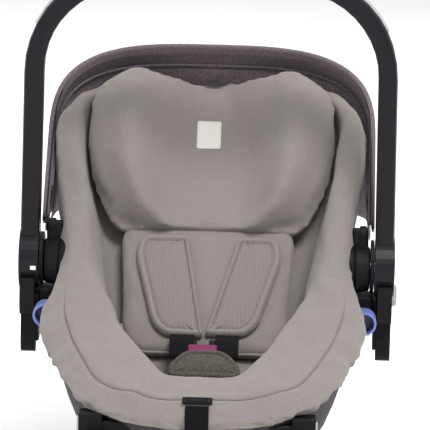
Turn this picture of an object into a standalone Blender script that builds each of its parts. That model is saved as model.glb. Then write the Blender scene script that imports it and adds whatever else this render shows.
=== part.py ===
"""Infant car seat with a swinging carry handle, a folding canopy and a three-point harness.

X runs across the seat, the foot end faces -Y, and the seat stands on z = 0. Every object hangs
from the empty "hub", which sits on the handle's swing axis, so coordinates below are
millimetres from that axis.
"""

import math

import bmesh
import bpy
import numpy as np
from mathutils import Matrix, Vector

MM = 0.001
GAP = 0.4  # kept between pieces that touch
WELD = 0.00001  # metres

# Overall sizes
HUB_HEIGHT = 250.0  # handle axis above the floor
HUB_BACK = 19.1  # handle axis behind the middle of the footprint
HANDLE_TOP = 345.0  # outer top of the handle above its axis
HANDLE_INNER = 196.0  # half the clear width between the handle's legs at the axis
HANDLE_THICK = 22.5
HANDLE_LEAN = 2.5  # each leg comes in by this much at the start of its corner
HANDLE_CORNER = 101.0  # inner corner radius
DISC_R = 35.0  # handle end, a disc around the axis

# The back: distances along it (s), forward off it (n) and across it (x)
BACK_ANGLE = math.radians(44.0)
BACK_ORIGIN = (-90.0, -87.5)  # (y, z) of s = 0, n = 0 on the front face of the insert

# Canopy: bows on a pivot behind and above the handle's axis
PIVOT = (5.0, 38.0)
BOW_ANGLE = 44.4  # front bow above the backward horizontal, degrees
BOW_SPLIT = 16.5  # between the bows, and from the middle bow to the fixed rear edge
BOW_HALF = 191.5
BOW_RISE = 149.0
BOW_SHOULDER = 120.0  # distance from the pivot at which the superellipse starts
BOW_POWER = 3.25

# The bucket is lofted through rings. Each ring has a point at twelve stations, from the middle
# of the foot end, round the right-hand side, to the middle of the head end.
SPINE = [
    (0, -130, -122), (0, -130, -122), (0, -130, -122), (0, -128, -122),
    (0, -112, -121), (0, -82, -112), (0, -40, -82), (0, 20, -24),
    (0, 85, 40), (0, 140, 94), (0, 176, 130), (0, 176, 130),
]
FLOOR = [
    (0, -178, -121), (36, -175, -121), (60, -166, -120), (80, -148, -119),
    (92, -120, -117), (97, -80, -108), (100, -40, -80), (107, 22, -20),
    (116, 88, 44), (108, 150, 106), (66, 180, 140), (0, 190, 148),
]
WALL = [
    (0, -214, -106), (40, -210, -104), (64, -190, -96), (86, -158, -82),
    (99, -120, -68), (112, -76, -52), (123, -34, -24), (133, 26, 24),
    (144, 84, 84), (141, 140, 138), (90, 181, 166), (0, 198, 164),
]
RIM = [
    (0, -238, -80), (41, -233, -79), (64, -206, -67), (88, -165, -50),
    (107, -120, -31), (126, -74, -8), (136, -30, 24), (143, 24, 76),
    (153, 78, 128), (151, 124, 164), (98, 171, 182), (0, 203, 176),
]
SEAM = [
    (0, -285, -95), (60, -281, -92), (106, -259, -84), (130, -218, -69),
    (150, -160, -50), (160, -105, -27), (156, -50, 4), (165, 8, 60),
    (175, 66, 117), (171, 118, 161), (116, 176, 187), (0, 214, 181),
]
WIDEST = [
    (0, -300, -112), (66, -297, -110), (116, -277, -102), (148, -236, -90),
    (170, -172, -71), (186, -105, -48), (171, -46, -12), (172, 5, 34),
    (181, 64, 96), (180, 116, 146), (127, 181, 182), (0, 222, 176),
]
HEM = [
    (0, -301, -128), (66, -298, -124), (110, -280, -112), (138, -243, -104),
    (159, -185, -90), (177, -112, -73), (171, -56, -32), (171, 2, 24),
    (181, 70, 82), (179, 124, 137), (128, 186, 176), (0, 225, 167),
]
SIDE = [
    (0, -284, -150), (60, -281, -148), (98, -262, -144), (124, -228, -140),
    (143, -178, -133), (157, -112, -120), (166, -44, -72), (168, 18, -16),
    (173, 92, 44), (167, 150, 98), (120, 196, 146), (0, 229, 150),
]
CHINE = [
    (0, -258, -182), (52, -254, -182), (84, -236, -181), (106, -204, -180),
    (121, -160, -178), (134, -105, -172), (144, -30, -132), (146, 48, -66),
    (148, 118, -2), (140, 172, 58), (98, 204, 108), (0, 226, 124),
]
KEEL = [
    (0, -215, -196), (36, -212, -196), (60, -200, -196), (76, -178, -196),
    (86, -145, -196), (94, -92, -190), (100, -14, -140), (102, 64, -64),
    (102, 132, 6), (94, 180, 58), (62, 204, 92), (0, 212, 104),
]
KEEL_SPINE = [
    (0, -140, -197), (0, -140, -197), (0, -140, -197), (0, -138, -197),
    (0, -120, -197), (0, -80, -191), (0, -10, -142), (0, 66, -66),
    (0, 132, 2), (0, 170, 42), (0, 186, 60), (0, 186, 60),
]
COVER_THICK = 3.0
SHELL_THICK = 3.0

TAUPE = (0.36, 0.32, 0.29)
MAUVE = (0.13, 0.10, 0.12)
BLACK = (0.012, 0.011, 0.013)
SATIN = (0.018, 0.015, 0.019)


def clear_scene():
    for ob in list(bpy.data.objects):
        bpy.data.objects.remove(ob, do_unlink=True)


def material(name, colour, roughness=0.6, metallic=0.0):
    mat = bpy.data.materials.new(name)
    mat.use_nodes = True
    bsdf = mat.node_tree.nodes["Principled BSDF"]
    bsdf.inputs["Base Color"].default_value = (*colour, 1)
    bsdf.inputs["Roughness"].default_value = roughness
    bsdf.inputs["Metallic"].default_value = metallic
    mat.diffuse_color = (*colour, 1)
    return mat


clear_scene()
PARTS = bpy.data.collections.new("infant_car_seat")
CUTTERS = bpy.data.collections.new("cutters")
bpy.context.scene.collection.children.link(PARTS)
bpy.context.scene.collection.children.link(CUTTERS)

HUB = bpy.data.objects.new("hub", None)
HUB.location = (0, HUB_BACK * MM, HUB_HEIGHT * MM)
PARTS.objects.link(HUB)


def add(name, mesh, mat, at=(0, 0, 0), turn=None):
    """A named object hung from the hub, with its origin at a place given in millimetres."""
    ob = bpy.data.objects.new(name, mesh)
    PARTS.objects.link(ob)
    ob.parent = HUB
    ob.location = Vector(at) * MM
    if turn is not None:
        ob.rotation_euler = turn
    mesh.materials.append(mat)
    mesh.shade_smooth()
    mesh.set_sharp_from_angle(angle=math.radians(40))
    return ob


def mesh_of(bm, name):
    """A mesh from a bmesh in millimetres, with its faces turned outwards."""
    bmesh.ops.remove_doubles(bm, verts=bm.verts, dist=0.01)
    bmesh.ops.recalc_face_normals(bm, faces=bm.faces)
    bmesh.ops.scale(bm, vec=(MM, MM, MM), verts=bm.verts)
    mesh = bpy.data.meshes.new(name)
    bm.to_mesh(mesh)
    bm.free()
    return mesh


def boolean(ob, tool, operation="DIFFERENCE"):
    """Cuts ob with, or joins it to, a tool that the build leaves out."""
    tool.hide_render = True
    tool.display_type = "WIRE"
    mod = ob.modifiers.new(operation.lower(), "BOOLEAN")
    mod.operation = operation
    mod.object = tool
    mod.solver = "EXACT"


def cutter(name, mesh, at=(0, 0, 0), turn=None):
    ob = bpy.data.objects.new(name, mesh)
    CUTTERS.objects.link(ob)
    ob.parent = HUB
    ob.location = Vector(at) * MM
    if turn is not None:
        ob.rotation_euler = turn
    ob.hide_render = True
    ob.display_type = "WIRE"
    return ob


def bevel(ob, width, segments=1, angle=30):
    mod = ob.modifiers.new("bevel", "BEVEL")
    mod.width = width * MM
    mod.segments = segments
    mod.limit_method = "ANGLE"
    mod.angle_limit = math.radians(angle)
    return mod


def box_mesh(size, name="box"):
    bm = bmesh.new()
    bmesh.ops.create_cube(bm, size=1.0)
    bmesh.ops.scale(bm, vec=size, verts=bm.verts)
    return mesh_of(bm, name)


def cone_mesh(r1, r2, depth, segments=32, name="cone"):
    """A cone or cylinder along X, with radius r1 at its -X end."""
    bm = bmesh.new()
    bmesh.ops.create_cone(
        bm, cap_ends=True, segments=segments, radius1=r1, radius2=r2, depth=depth
    )
    bmesh.ops.rotate(bm, verts=bm.verts, matrix=Matrix.Rotation(math.pi / 2, 3, "Y"))
    return mesh_of(bm, name)


def outline_mesh(points, thick, name="plate", holes=()):
    """A flat outline filled as a 2D curve, thick along its local Z, as a welded mesh."""
    curve = bpy.data.curves.new(name, "CURVE")
    curve.dimensions = "2D"
    curve.fill_mode = "BOTH"
    curve.extrude = thick / 2 * MM
    for loop in [points, *holes]:
        spline = curve.splines.new("POLY")
        spline.points.add(len(loop) - 1)
        for p, (u, v) in zip(spline.points, loop):
            p.co = (u * MM, v * MM, 0, 1)
        spline.use_cyclic_u = True
    ob = bpy.data.objects.new(name, curve)
    bpy.context.scene.collection.objects.link(ob)
    bpy.context.view_layer.update()
    graph = bpy.context.evaluated_depsgraph_get()
    mesh = bpy.data.meshes.new_from_object(ob.evaluated_get(graph))
    bpy.data.objects.remove(ob)
    bm = bmesh.new()
    bm.from_mesh(mesh)
    bmesh.ops.remove_doubles(bm, verts=bm.verts, dist=WELD)
    bmesh.ops.recalc_face_normals(bm, faces=bm.faces)
    bm.to_mesh(mesh)
    bm.free()
    return mesh


def rounded(points, radius, steps=4):
    """An outline with each corner replaced by an arc-like curve that starts radius before it."""
    out = []
    count = len(points)
    for i, p in enumerate(points):
        here, prev, nxt = np.array(p, float), np.array(points[i - 1]), np.array(points[(i + 1) % count])
        a, b = prev - here, nxt - here
        reach = min(radius, np.linalg.norm(a) * 0.48, np.linalg.norm(b) * 0.48)
        start = here + a / np.linalg.norm(a) * reach
        end = here + b / np.linalg.norm(b) * reach
        for j in range(steps + 1):
            t = j / steps
            out.append(tuple((1 - t) ** 2 * start + 2 * t * (1 - t) * here + t * t * end))
    return out


def arc(centre, radius, start, end, steps):
    """Points on an arc, angles in degrees from the first axis towards the second."""
    return [
        (
            centre[0] + radius * math.cos(math.radians(start + (end - start) * i / steps)),
            centre[1] + radius * math.sin(math.radians(start + (end - start) * i / steps)),
        )
        for i in range(steps + 1)
    ]


# Turns an outline drawn in (Y, Z) so that it stands across X
STANDING = Matrix(((0, 0, 1), (1, 0, 0), (0, 1, 0))).to_euler()
# Turns an outline drawn in (x, s) onto the back, with its thickness along n
ON_BACK = Matrix.Rotation(BACK_ANGLE, 3, "X").to_euler()


def back(x, s, n):
    """A point given along, off and across the back, in hub coordinates."""
    c, k = math.cos(BACK_ANGLE), math.sin(BACK_ANGLE)
    return (x, BACK_ORIGIN[0] + s * c - n * k, BACK_ORIGIN[1] + s * k + n * c)


def smooth_through(points, steps):
    """Catmull-Rom through points along the first axis, with ghost points already at both ends."""
    out = []
    for i in range(1, len(points) - 2):
        p0, p1, p2, p3 = points[i - 1 : i + 3]
        for j in range(steps):
            t = j / steps
            out.append(
                0.5
                * (
                    2 * p1
                    + (p2 - p0) * t
                    + (2 * p0 - 5 * p1 + 4 * p2 - p3) * t * t
                    + (3 * p1 - p0 - 3 * p2 + p3) * t**3
                )
            )
    out.append(points[-2])
    return np.array(out)


def loft(rings, along=2, across=2):
    """A smooth grid (ring, station, xyz) through the right-hand rings, meeting x = 0 squarely."""
    flip = np.array([-1, 1, 1])
    rings = np.array(rings, float)
    stations = np.concatenate([rings[:, 1:2] * flip, rings, rings[:, -2:-1] * flip], axis=1)
    grid = smooth_through(stations.transpose(1, 0, 2), along)
    grid = grid.transpose(1, 0, 2)
    ends = [2 * grid[:1] - grid[1:2], 2 * grid[-1:] - grid[-2:-1]]
    grid = smooth_through(np.concatenate([ends[0], grid, ends[1]]), across)
    grid[:, 0, 0] = 0
    grid[:, -1, 0] = 0
    grid[..., 0] = np.maximum(grid[..., 0], 0)
    for spine in (0, -1):  # a spine that ends in a fan of stations has one point for all of them
        if np.ptp(rings[spine][:, 0]) == 0:
            grid[spine, : 2 * along + 1] = grid[spine, 0]
            grid[spine, -along - 1 :] = grid[spine, -1]
    return grid


def normals(grid):
    """Unit normals of a right-hand grid, pointing to the ring side's left, made smooth at x = 0."""
    flip = np.array([-1, 1, 1])
    wide = np.concatenate([grid[:, 1:2] * flip, grid, grid[:, -2:-1] * flip], axis=1)
    along = wide[:, 2:] - wide[:, :-2]
    across = np.gradient(grid, axis=0)
    n = np.cross(across, along)
    size = np.linalg.norm(n, axis=2, keepdims=True)
    n = n / np.maximum(size, 1e-9)
    weak = size[..., 0] < 1e-6
    for row, beside in ((0, 1), (-1, -2)):  # a fan's points take the normals next to them
        n[row, weak[row]] = n[beside, weak[row]]
    n[..., 0][grid[..., 0] == 0] = 0
    return n / np.maximum(np.linalg.norm(n, axis=2, keepdims=True), 1e-9)


def offset(grid, distance):
    """The grid moved along its normals, with its points on x = 0 kept there."""
    moved = grid + normals(grid) * distance
    moved[..., 0][grid[..., 0] == 0] = 0
    for row in (0, -1):
        for end in (0, -1):
            fan = (grid[row] == grid[row, end]).all(axis=1)
            moved[row, fan] = moved[row, end]
    return moved


def quads(bm, grid):
    """Adds a grid of faces and returns the bmesh vertices."""
    verts = [[bm.verts.new(p) for p in row] for row in grid]
    for r in range(len(verts) - 1):
        for c in range(len(verts[0]) - 1):
            bm.faces.new((verts[r][c], verts[r + 1][c], verts[r + 1][c + 1], verts[r][c + 1]))
    return verts


def halves(mesh_object):
    """Mirrors a right-hand half, open at x = 0, into a whole."""
    mod = mesh_object.modifiers.new("mirror", "MIRROR")
    mod.use_axis[0] = True
    mod.use_clip = True
    mod.merge_threshold = 0.0001


def tidy_half(bm):
    """Welds the fan points of a half, drops what has no area, and pins its edge to x = 0."""
    bmesh.ops.remove_doubles(bm, verts=bm.verts, dist=0.05)
    bmesh.ops.dissolve_degenerate(bm, edges=bm.edges, dist=0.01)
    for v in bm.verts:
        if v.co.x < 0.05:
            v.co.x = 0


def skin(name, grid, thick, mat):
    """A sheet of even thickness behind a right-hand grid, mirrored."""
    bm = bmesh.new()
    quads(bm, grid)
    tidy_half(bm)
    bmesh.ops.scale(bm, vec=(MM, MM, MM), verts=bm.verts)
    mesh = bpy.data.meshes.new(name)
    bm.to_mesh(mesh)
    bm.free()
    ob = add(name, mesh, mat)
    halves(ob)
    mod = ob.modifiers.new("solidify", "SOLIDIFY")
    mod.thickness = thick * MM
    mod.offset = -1
    return ob


def between(name, top, bottom, mat):
    """A closed solid between two right-hand grids whose last rings it joins, mirrored."""
    bm = bmesh.new()
    quads(bm, top)
    quads(bm, bottom)
    quads(bm, np.array([top[-1], bottom[-1]]))
    tidy_half(bm)
    bmesh.ops.recalc_face_normals(bm, faces=bm.faces)
    bmesh.ops.scale(bm, vec=(MM, MM, MM), verts=bm.verts)
    mesh = bpy.data.meshes.new(name)
    bm.to_mesh(mesh)
    bm.free()
    ob = add(name, mesh, mat)
    halves(ob)
    return ob


M_TAUPE = material("taupe_jersey", TAUPE, 0.95)
M_MELANGE = material("mauve_melange", MAUVE, 0.95)
M_SHELL = material("mauve_plastic", (0.15, 0.12, 0.14), 0.5)
M_FOAM = material("white_foam", (0.75, 0.75, 0.75), 0.9)
M_BLACK = material("black_plastic", BLACK, 0.5)
M_SATIN = material("satin_black", SATIN, 0.35)
M_GREY = material("grey_plastic", (0.45, 0.45, 0.46), 0.6)
M_BLUE = material("blue_plastic", (0.06, 0.08, 0.28), 0.4)
M_PINK = material("magenta_plastic", (0.45, 0.03, 0.2), 0.4)
M_PAD = material("olive_pad", (0.13, 0.115, 0.09), 0.95)
M_WEB = material("black_webbing", (0.02, 0.017, 0.02), 0.85)
M_STEEL = material("steel", (0.6, 0.6, 0.6), 0.25, 1.0)
M_RUBBER = material("rubber", (0.02, 0.02, 0.02), 0.9)
M_LABEL = material("woven_label", (0.8, 0.79, 0.76), 0.9)



# Bucket: cover, foam and shell
ACROSS = 2  # grid rows to a ring
cover_grid = loft([SPINE, FLOOR, WALL, RIM, SEAM, WIDEST, HEM], across=ACROSS)
SEAM_ROW = 4 * ACROSS
foam_top = offset(cover_grid, -COVER_THICK - 1.5)[: SEAM_ROW - 1]
in_the_fold = offset(cover_grid, -COVER_THICK - 2.5)[SEAM_ROW::ACROSS, ::2]
shell_grid = loft([*in_the_fold, SIDE, CHINE, KEEL, KEEL_SPINE], across=ACROSS)
foam_under = offset(shell_grid, -SHELL_THICK - 2.5)[4:]
RAIL_X, RAIL_WIDE = 109.0, 27.0


def make_bucket():
    skin("seat_cover", cover_grid, COVER_THICK, M_TAUPE)
    skin("seat_shell", shell_grid, SHELL_THICK, M_SHELL)
    between("foam_liner", foam_top, foam_under[::-1], M_FOAM)


def shell_underside(y):
    """The lowest height of the shell above a rail, near y."""
    fine = loft(shell_grid[::ACROSS, ::2], along=6, across=6).reshape(-1, 3)
    over_rail = np.abs(fine[:, 0] - RAIL_X) < RAIL_WIDE / 2 + 5
    near = over_rail & (np.abs(fine[:, 1] - y) < 12)
    return fine[near, 2].min()


def make_base():
    top = [(y, shell_underside(y) - 2.0) for y in range(-264, 76, 20)]
    outer = [(-303, -133), (-283, -133), (-272, min(-137, top[0][1] + 4)), *top]
    outer += rounded([(84, -70), (140, -178), (168, -224), (150, -247)], 12)[3:-3]
    outer += [(-168, -247), *arc((-168, -112), 135, -90, -172, 8)]
    window = rounded([(-24, -230), (118, -230), (96, -186), (58, -118), (30, -132), (0, -178)], 10)
    mesh = outline_mesh(outer, RAIL_WIDE, "rocker_rail", [window])
    pad = box_mesh((22, 34, 2.6))
    for side, name in ((-1, "left"), (1, "right")):
        rail = add(f"rocker_rail_{name}", mesh.copy(), M_BLACK, (side * RAIL_X, 0, 0), STANDING)
        bevel(rail, 1.5, 1, 50)
        for y, end in ((-148, "front"), (112, "rear")):
            foot = add(f"foot_{end}_{name}", pad.copy(), M_RUBBER, (side * RAIL_X, y, -248.7))
            bevel(foot, 0.8, 1)
    reach = 2 * (RAIL_X - RAIL_WIDE / 2 - GAP)
    add("front_cross_bar", cone_mesh(9, 9, reach, 20), M_BLACK, (0, -232, -214))
    add("rear_cross_bar", cone_mesh(9, 9, reach, 20), M_BLACK, (0, 132, -228))


def handle_path():
    """Stations round the handle's inner face, left to right: (x, z, outward x, outward z)."""
    corner_x = HANDLE_INNER - HANDLE_LEAN - HANDLE_CORNER
    corner_z = HANDLE_TOP - HANDLE_THICK - HANDLE_CORNER
    half = []
    for i in range(6):
        t = i / 6
        half.append((HANDLE_INNER - HANDLE_LEAN * t, corner_z * t, 1.0, 0.0))
    for i in range(11):
        a = math.pi / 2 * i / 10
        out = (math.cos(a), math.sin(a))
        half.append((corner_x + HANDLE_CORNER * out[0], corner_z + HANDLE_CORNER * out[1], *out))
    half.append((corner_x / 2, corner_z + HANDLE_CORNER, 0.0, 1.0))
    left = [(-x, z, -u, w) for x, z, u, w in half]
    return left + [(0, corner_z + HANDLE_CORNER, 0.0, 1.0)] + half[::-1]


def swept(stations, depth_of, low, high, corner=6.0):
    """A closed bar of rounded section round the handle's path, from low to high off it."""
    bm = bmesh.new()
    rows = []
    for i, (x, z, u, w) in enumerate(stations):
        half = depth_of(i / (len(stations) - 1)) / 2
        box = [(low, -half), (high, -half), (high, half), (low, half)]
        ring = rounded(box, corner, 2) if corner else box
        rows.append([bm.verts.new((x + u * r, y, z + w * r)) for r, y in ring])
    for a, b in zip(rows, rows[1:]):
        for i in range(len(a)):
            j = (i + 1) % len(a)
            bm.faces.new((a[i], a[j], b[j], b[i]))
    bm.faces.new(rows[0])
    bm.faces.new(rows[-1][::-1])
    return mesh_of(bm, "swept")


def make_handle():
    path = handle_path()
    depth = lambda t: 36 + 5 * math.sin(math.pi * t)
    handle = add("carry_handle", swept(path, depth, 0.25, HANDLE_THICK - 0.25), M_SATIN)
    for side in (-1, 1):
        mid = side * (HANDLE_INNER + HANDLE_THICK / 2)
        boolean(handle, cutter("disc", cone_mesh(DISC_R, DISC_R, HANDLE_THICK, 40), (mid, 0, 0)), "UNION")
    boolean(handle, cutter("pivot_bore", cone_mesh(8.5, 8.5, 500, 24)))
    for side in (-1, 1):
        pocket = cone_mesh(20.4, 20.4, 20, 24)
        boolean(handle, cutter("pocket", pocket, (side * (HANDLE_INNER + 26.4), 0, 0)))
    trimmed = [p for p in path if p[1] > 262]
    add("handle_grip", swept(trimmed, lambda t: 26, HANDLE_THICK + 0.2, HANDLE_THICK + 1.8, 0), M_GREY)
    for side, name in ((-1, "left"), (1, "right")):
        button = add(f"handle_button_{name}", cone_mesh(20, 20, 3.2, 24), M_BLACK, (side * 217.6, 0, 0))
        bevel(button, 0.8)
        r_in, r_out = (29, 25.5) if side > 0 else (25.5, 29)
        housing = add(f"hub_housing_{name}", cone_mesh(r_in, r_out, 17.6, 28), M_BLACK, (side * 181.4, 0, -3))
        bevel(housing, 1.5)
        ring = add(f"hub_ring_{name}", cone_mesh(31, 31, 3.8, 28), M_BLACK, (side * 192.9, 0, 0))
        bore = cutter("ring_bore", cone_mesh(8.5, 8.5, 60, 24), (side * 185, 0, 0))
        boolean(housing, bore)
        boolean(ring, bore)
        add(f"handle_pivot_pin_{name}", cone_mesh(8, 8, 39, 24), M_STEEL, (side * 192.6, 0, 0))


POST_THICK = 17
PLATE_THICK = 3.4
KNOB_R = 15.6


def make_posts():
    """Stroller adapter posts that cradle the handle's discs, and the arms that carry them."""
    cradle = arc((0, 0), DISC_R + 0.7, 209.5, 323.5, 14)
    leg_end = arc((0, -99.5), 13, 0, -180, 8)
    block = [*cradle, (44, -23), (64, -34), (64, -54), (50, -63), (13, -66)]
    block += [*leg_end, (-13, -66), (-33, -60), (-38, -50), (-38, -17.6)]
    post = outline_mesh(block, POST_THICK, "post")
    knob_at = (43, -43)
    for side, name in ((-1, "left"), (1, "right")):
        ob = add(f"adapter_post_{name}", post.copy(), M_BLACK, (side * 208, 0, 0), STANDING)
        plate = [(-22, -40), (50, -40), (44, -62), (14, -66), (12, -98), (-12, -98), (-14, -66), (-22, -62)]
        plate = outline_mesh(rounded(plate, 4), PLATE_THICK, "plate")
        add(f"post_plate_{name}", plate, M_BLACK, (side * 197.4, 0, 0), STANDING)
        arm = add(f"post_arm_{name}", box_mesh((23.6, 40, 25)), M_BLACK, (side * 183.4, 0, -45.5))
        bevel(arm, 2)
        if side > 0:
            pocket = cone_mesh(KNOB_R + 0.6, KNOB_R + 0.6, 20, 24)
            boolean(ob, cutter("knob_pocket", pocket, (218, *knob_at)))
            knob = add("release_knob", cone_mesh(KNOB_R, 12.0, 11.6, 24), M_GREY, (218.2, *knob_at))
            bevel(knob, 2.4, 2)


GUIDE_LIP = (185, -54)  # centre of the rounded lip, across and up
GUIDE_LIP_R = 13.5
GUIDE_WALL = 2.5
GUIDE_WIDTH = 26


def make_belt_guides():
    foot = [(168.5, -63.5), (168.5, -67.5), (190, -67.5)]
    hook = [*foot, *arc(GUIDE_LIP, GUIDE_LIP_R, -55, 90, 8), (179.5, -40.5), (179.5, -63.5)]
    pocket = [(182, -65), (189, -65), *arc(GUIDE_LIP, GUIDE_LIP_R - GUIDE_WALL, -55, 90, 7), (182, -43)]
    flat = Matrix.Rotation(math.pi / 2, 3, "X").to_euler()
    for side, name in ((-1, "left"), (1, "right")):
        body = outline_mesh([(side * x, z) for x, z in hook], GUIDE_WIDTH, "hook")
        guide = add(f"lap_belt_guide_{name}", body, M_BLUE, (0, -55, 0), flat)
        hollow = outline_mesh([(side * x, z) for x, z in pocket], 44, "pocket")
        boolean(guide, cutter("guide_pocket", hollow, (0, -68, 0), flat))
    profile = [(250, -92), (330, -92), (338, -98), (334, -112), (282, -112), (282, -108), (328, -108)]
    profile += [(331, -99), (326, -96), (250, -96)]
    rear = outline_mesh([back(0, s, n - 1)[1:] for s, n in profile], 66, "rear_hook")
    add("shoulder_belt_guide_rear", rear, M_BLUE, (0, 0, 0), STANDING)


def arch(a, b, foot, steps=8):
    """Points (x, r) of a canopy arch from the left foot over the top to the right foot."""
    half = [(a, foot + (BOW_SHOULDER - foot) * i / 3) for i in range(3)]
    for i in range(steps):
        t = math.pi / 2 * i / steps
        half.append(
            (a * math.cos(t) ** (2 / BOW_POWER), BOW_SHOULDER + b * math.sin(t) ** (2 / BOW_POWER))
        )
    return [(-x, r) for x, r in half] + [(0, BOW_SHOULDER + b)] + half[::-1]


def arched_band(name, inset, thick, edges, foot, mat):
    """A closed band over the canopy's arch. Each edge is (angle in degrees, offset off its plane)."""
    layers = []
    for depth in (inset, inset + thick):
        grid = []
        for angle, shift in edges:
            c, k = math.cos(math.radians(angle)), math.sin(math.radians(angle))
            row = arch(BOW_HALF - depth, BOW_RISE - depth, foot)
            grid.append([(x, r * c - shift * k, r * k + shift * c) for x, r in row])
        layers.append(np.array(grid))
    outer, inner = layers
    bm = bmesh.new()
    quads(bm, outer)
    quads(bm, inner)
    quads(bm, np.array([outer[0], inner[0]]))
    quads(bm, np.array([outer[-1], inner[-1]]))
    quads(bm, np.array([outer[:, 0], inner[:, 0]]))
    quads(bm, np.array([outer[:, -1], inner[:, -1]]))
    return add(name, mesh_of(bm, name), mat, (0, *PIVOT))


def fan(start, end, steps=3):
    return [(start + (end - start) * i / steps, 0.0) for i in range(steps + 1)]


def make_canopy():
    front, mid, rear = BOW_ANGLE, BOW_ANGLE - BOW_SPLIT, BOW_ANGLE - 2 * BOW_SPLIT
    tail = rear - BOW_SPLIT
    arched_band("canopy_panel_front", 0, 0.8, fan(front + 1.2, mid + 1.4), 40, M_MELANGE)
    arched_band("canopy_bow_front", 1.5, 1.3, [(front, 4), (front, -4)], -6, M_STEEL)
    arched_band("canopy_panel_middle", 1.8, 1.0, fan(mid + 1.2, rear + 1.4), 40, M_MELANGE)
    arched_band("canopy_bow_middle", 3.2, 2.0, [(mid, 4), (mid, -4)], -6, M_STEEL)
    arched_band("canopy_panel_rear", 3.6, 1.0, fan(rear, tail), 40, M_MELANGE)
    for side, name in ((-1, "left"), (1, "right")):
        clip = add(f"canopy_clip_{name}", cone_mesh(9, 9, 8.4, 24), M_BLACK, (side * 181.6, *PIVOT))
        bevel(clip, 1.2)


# Headrest stations along the back: (s, half width, x of the wing's crest, its height n, height of
# the middle, height of the back face)
HEAD_STATIONS = [
    (166, 106, 52, 9, 1, -14), (176, 119, 64, 20, 2, -17), (192, 131, 78, 33, 2, -17),
    (218, 141, 88, 45, 2, -17), (270, 149, 98, 51, 2, -16), (325, 149, 100, 49, 3, -8),
    (350, 144, 99, 46, 3, -3), (370, 129, 95, 43, 3, -3), (386, 108, 90, 41, 2, -3),
]
HEAD_OVERHANG = 325  # from here up the wings reach over the rim of the bucket


def head_outline(s, wide, crest, high, middle, low):
    """Half of a section (x, n), from the middle of the front round the wing to the middle of the back."""
    rise = high - middle
    half = [(0, middle), (0.25 * crest, middle + 1), (0.5 * crest, middle + 0.14 * rise)]
    half += [(0.77 * crest, middle + 0.65 * rise), (crest, high)]
    half += [(crest + 0.5 * (wide - crest), high - 3)]
    if s < HEAD_OVERHANG:
        deep = min(1.0, (wide - 100) / 40)
        half += [(wide, high - 0.32 * rise), (min(wide - 5, 137), 12 * deep - 4)]
        half += [(min(wide - 9, 118), low + 8), (min(wide - 22, 100), low), (50, low), (0, low)]
    elif s == HEAD_OVERHANG:
        half += [(wide, high - 13), (wide - 8, high - 20), (124, 18), (106, -2), (52, low), (0, low)]
    else:
        half += [(wide, high - 10), (wide - 10, high - 16), (0.76 * wide, high - 23)]
        half += [(0.62 * wide, 13), (0.3 * wide, low + 1), (0, low)]
    return half


def make_headrest():
    flip = np.array([-1, 1, 1])
    rows = [np.array([back(x, st[0], n) for x, n in head_outline(*st)]) for st in HEAD_STATIONS]
    rows = [rows[0] * 2 - rows[1], *rows, rows[-1] * 2 - rows[-2]]
    rows = smooth_through(np.array(rows), 2)
    bm = bmesh.new()
    loops = []
    for row in rows:
        whole = np.concatenate([row, row[-2:0:-1] * flip])
        loops.append([bm.verts.new(p) for p in whole])
    for a, b in zip(loops, loops[1:]):
        for i in range(len(a)):
            j = (i + 1) % len(a)
            bm.faces.new((a[i], a[j], b[j], b[i]))
    for loop in (loops[0], loops[-1]):
        bmesh.ops.triangle_fill(bm, use_beauty=True, edges=[
            bm.edges.get((loop[i - 1], loop[i])) for i in range(len(loop))
        ])
    add("headrest_cushion", mesh_of(bm, "headrest"), M_TAUPE)
    on_back("headrest_core", box_mesh((150, 140, 3)), M_BLACK, back(0, 255, -20.4), 1)
    on_back("headrest_lever", box_mesh((52, 18, 4)), M_BLACK, back(0, 377, -6.4), 1)
    on_back("headrest_label", box_mesh((29, 33, 0.8)), M_LABEL, back(-4, 303, 4.6), 0.2)


def on_back(name, mesh, mat, at, soften=0.0):
    ob = add(name, mesh, mat, at, ON_BACK)
    if soften:
        bevel(ob, soften)
    return ob


STRAP_WIDE = 27
STRAP_THICK = 1.6
PAD_OUTLINE = [(28.5, 157), (77, 157), (82, 130), (61, 34), (46, 19), (3.5, 19)]


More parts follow.
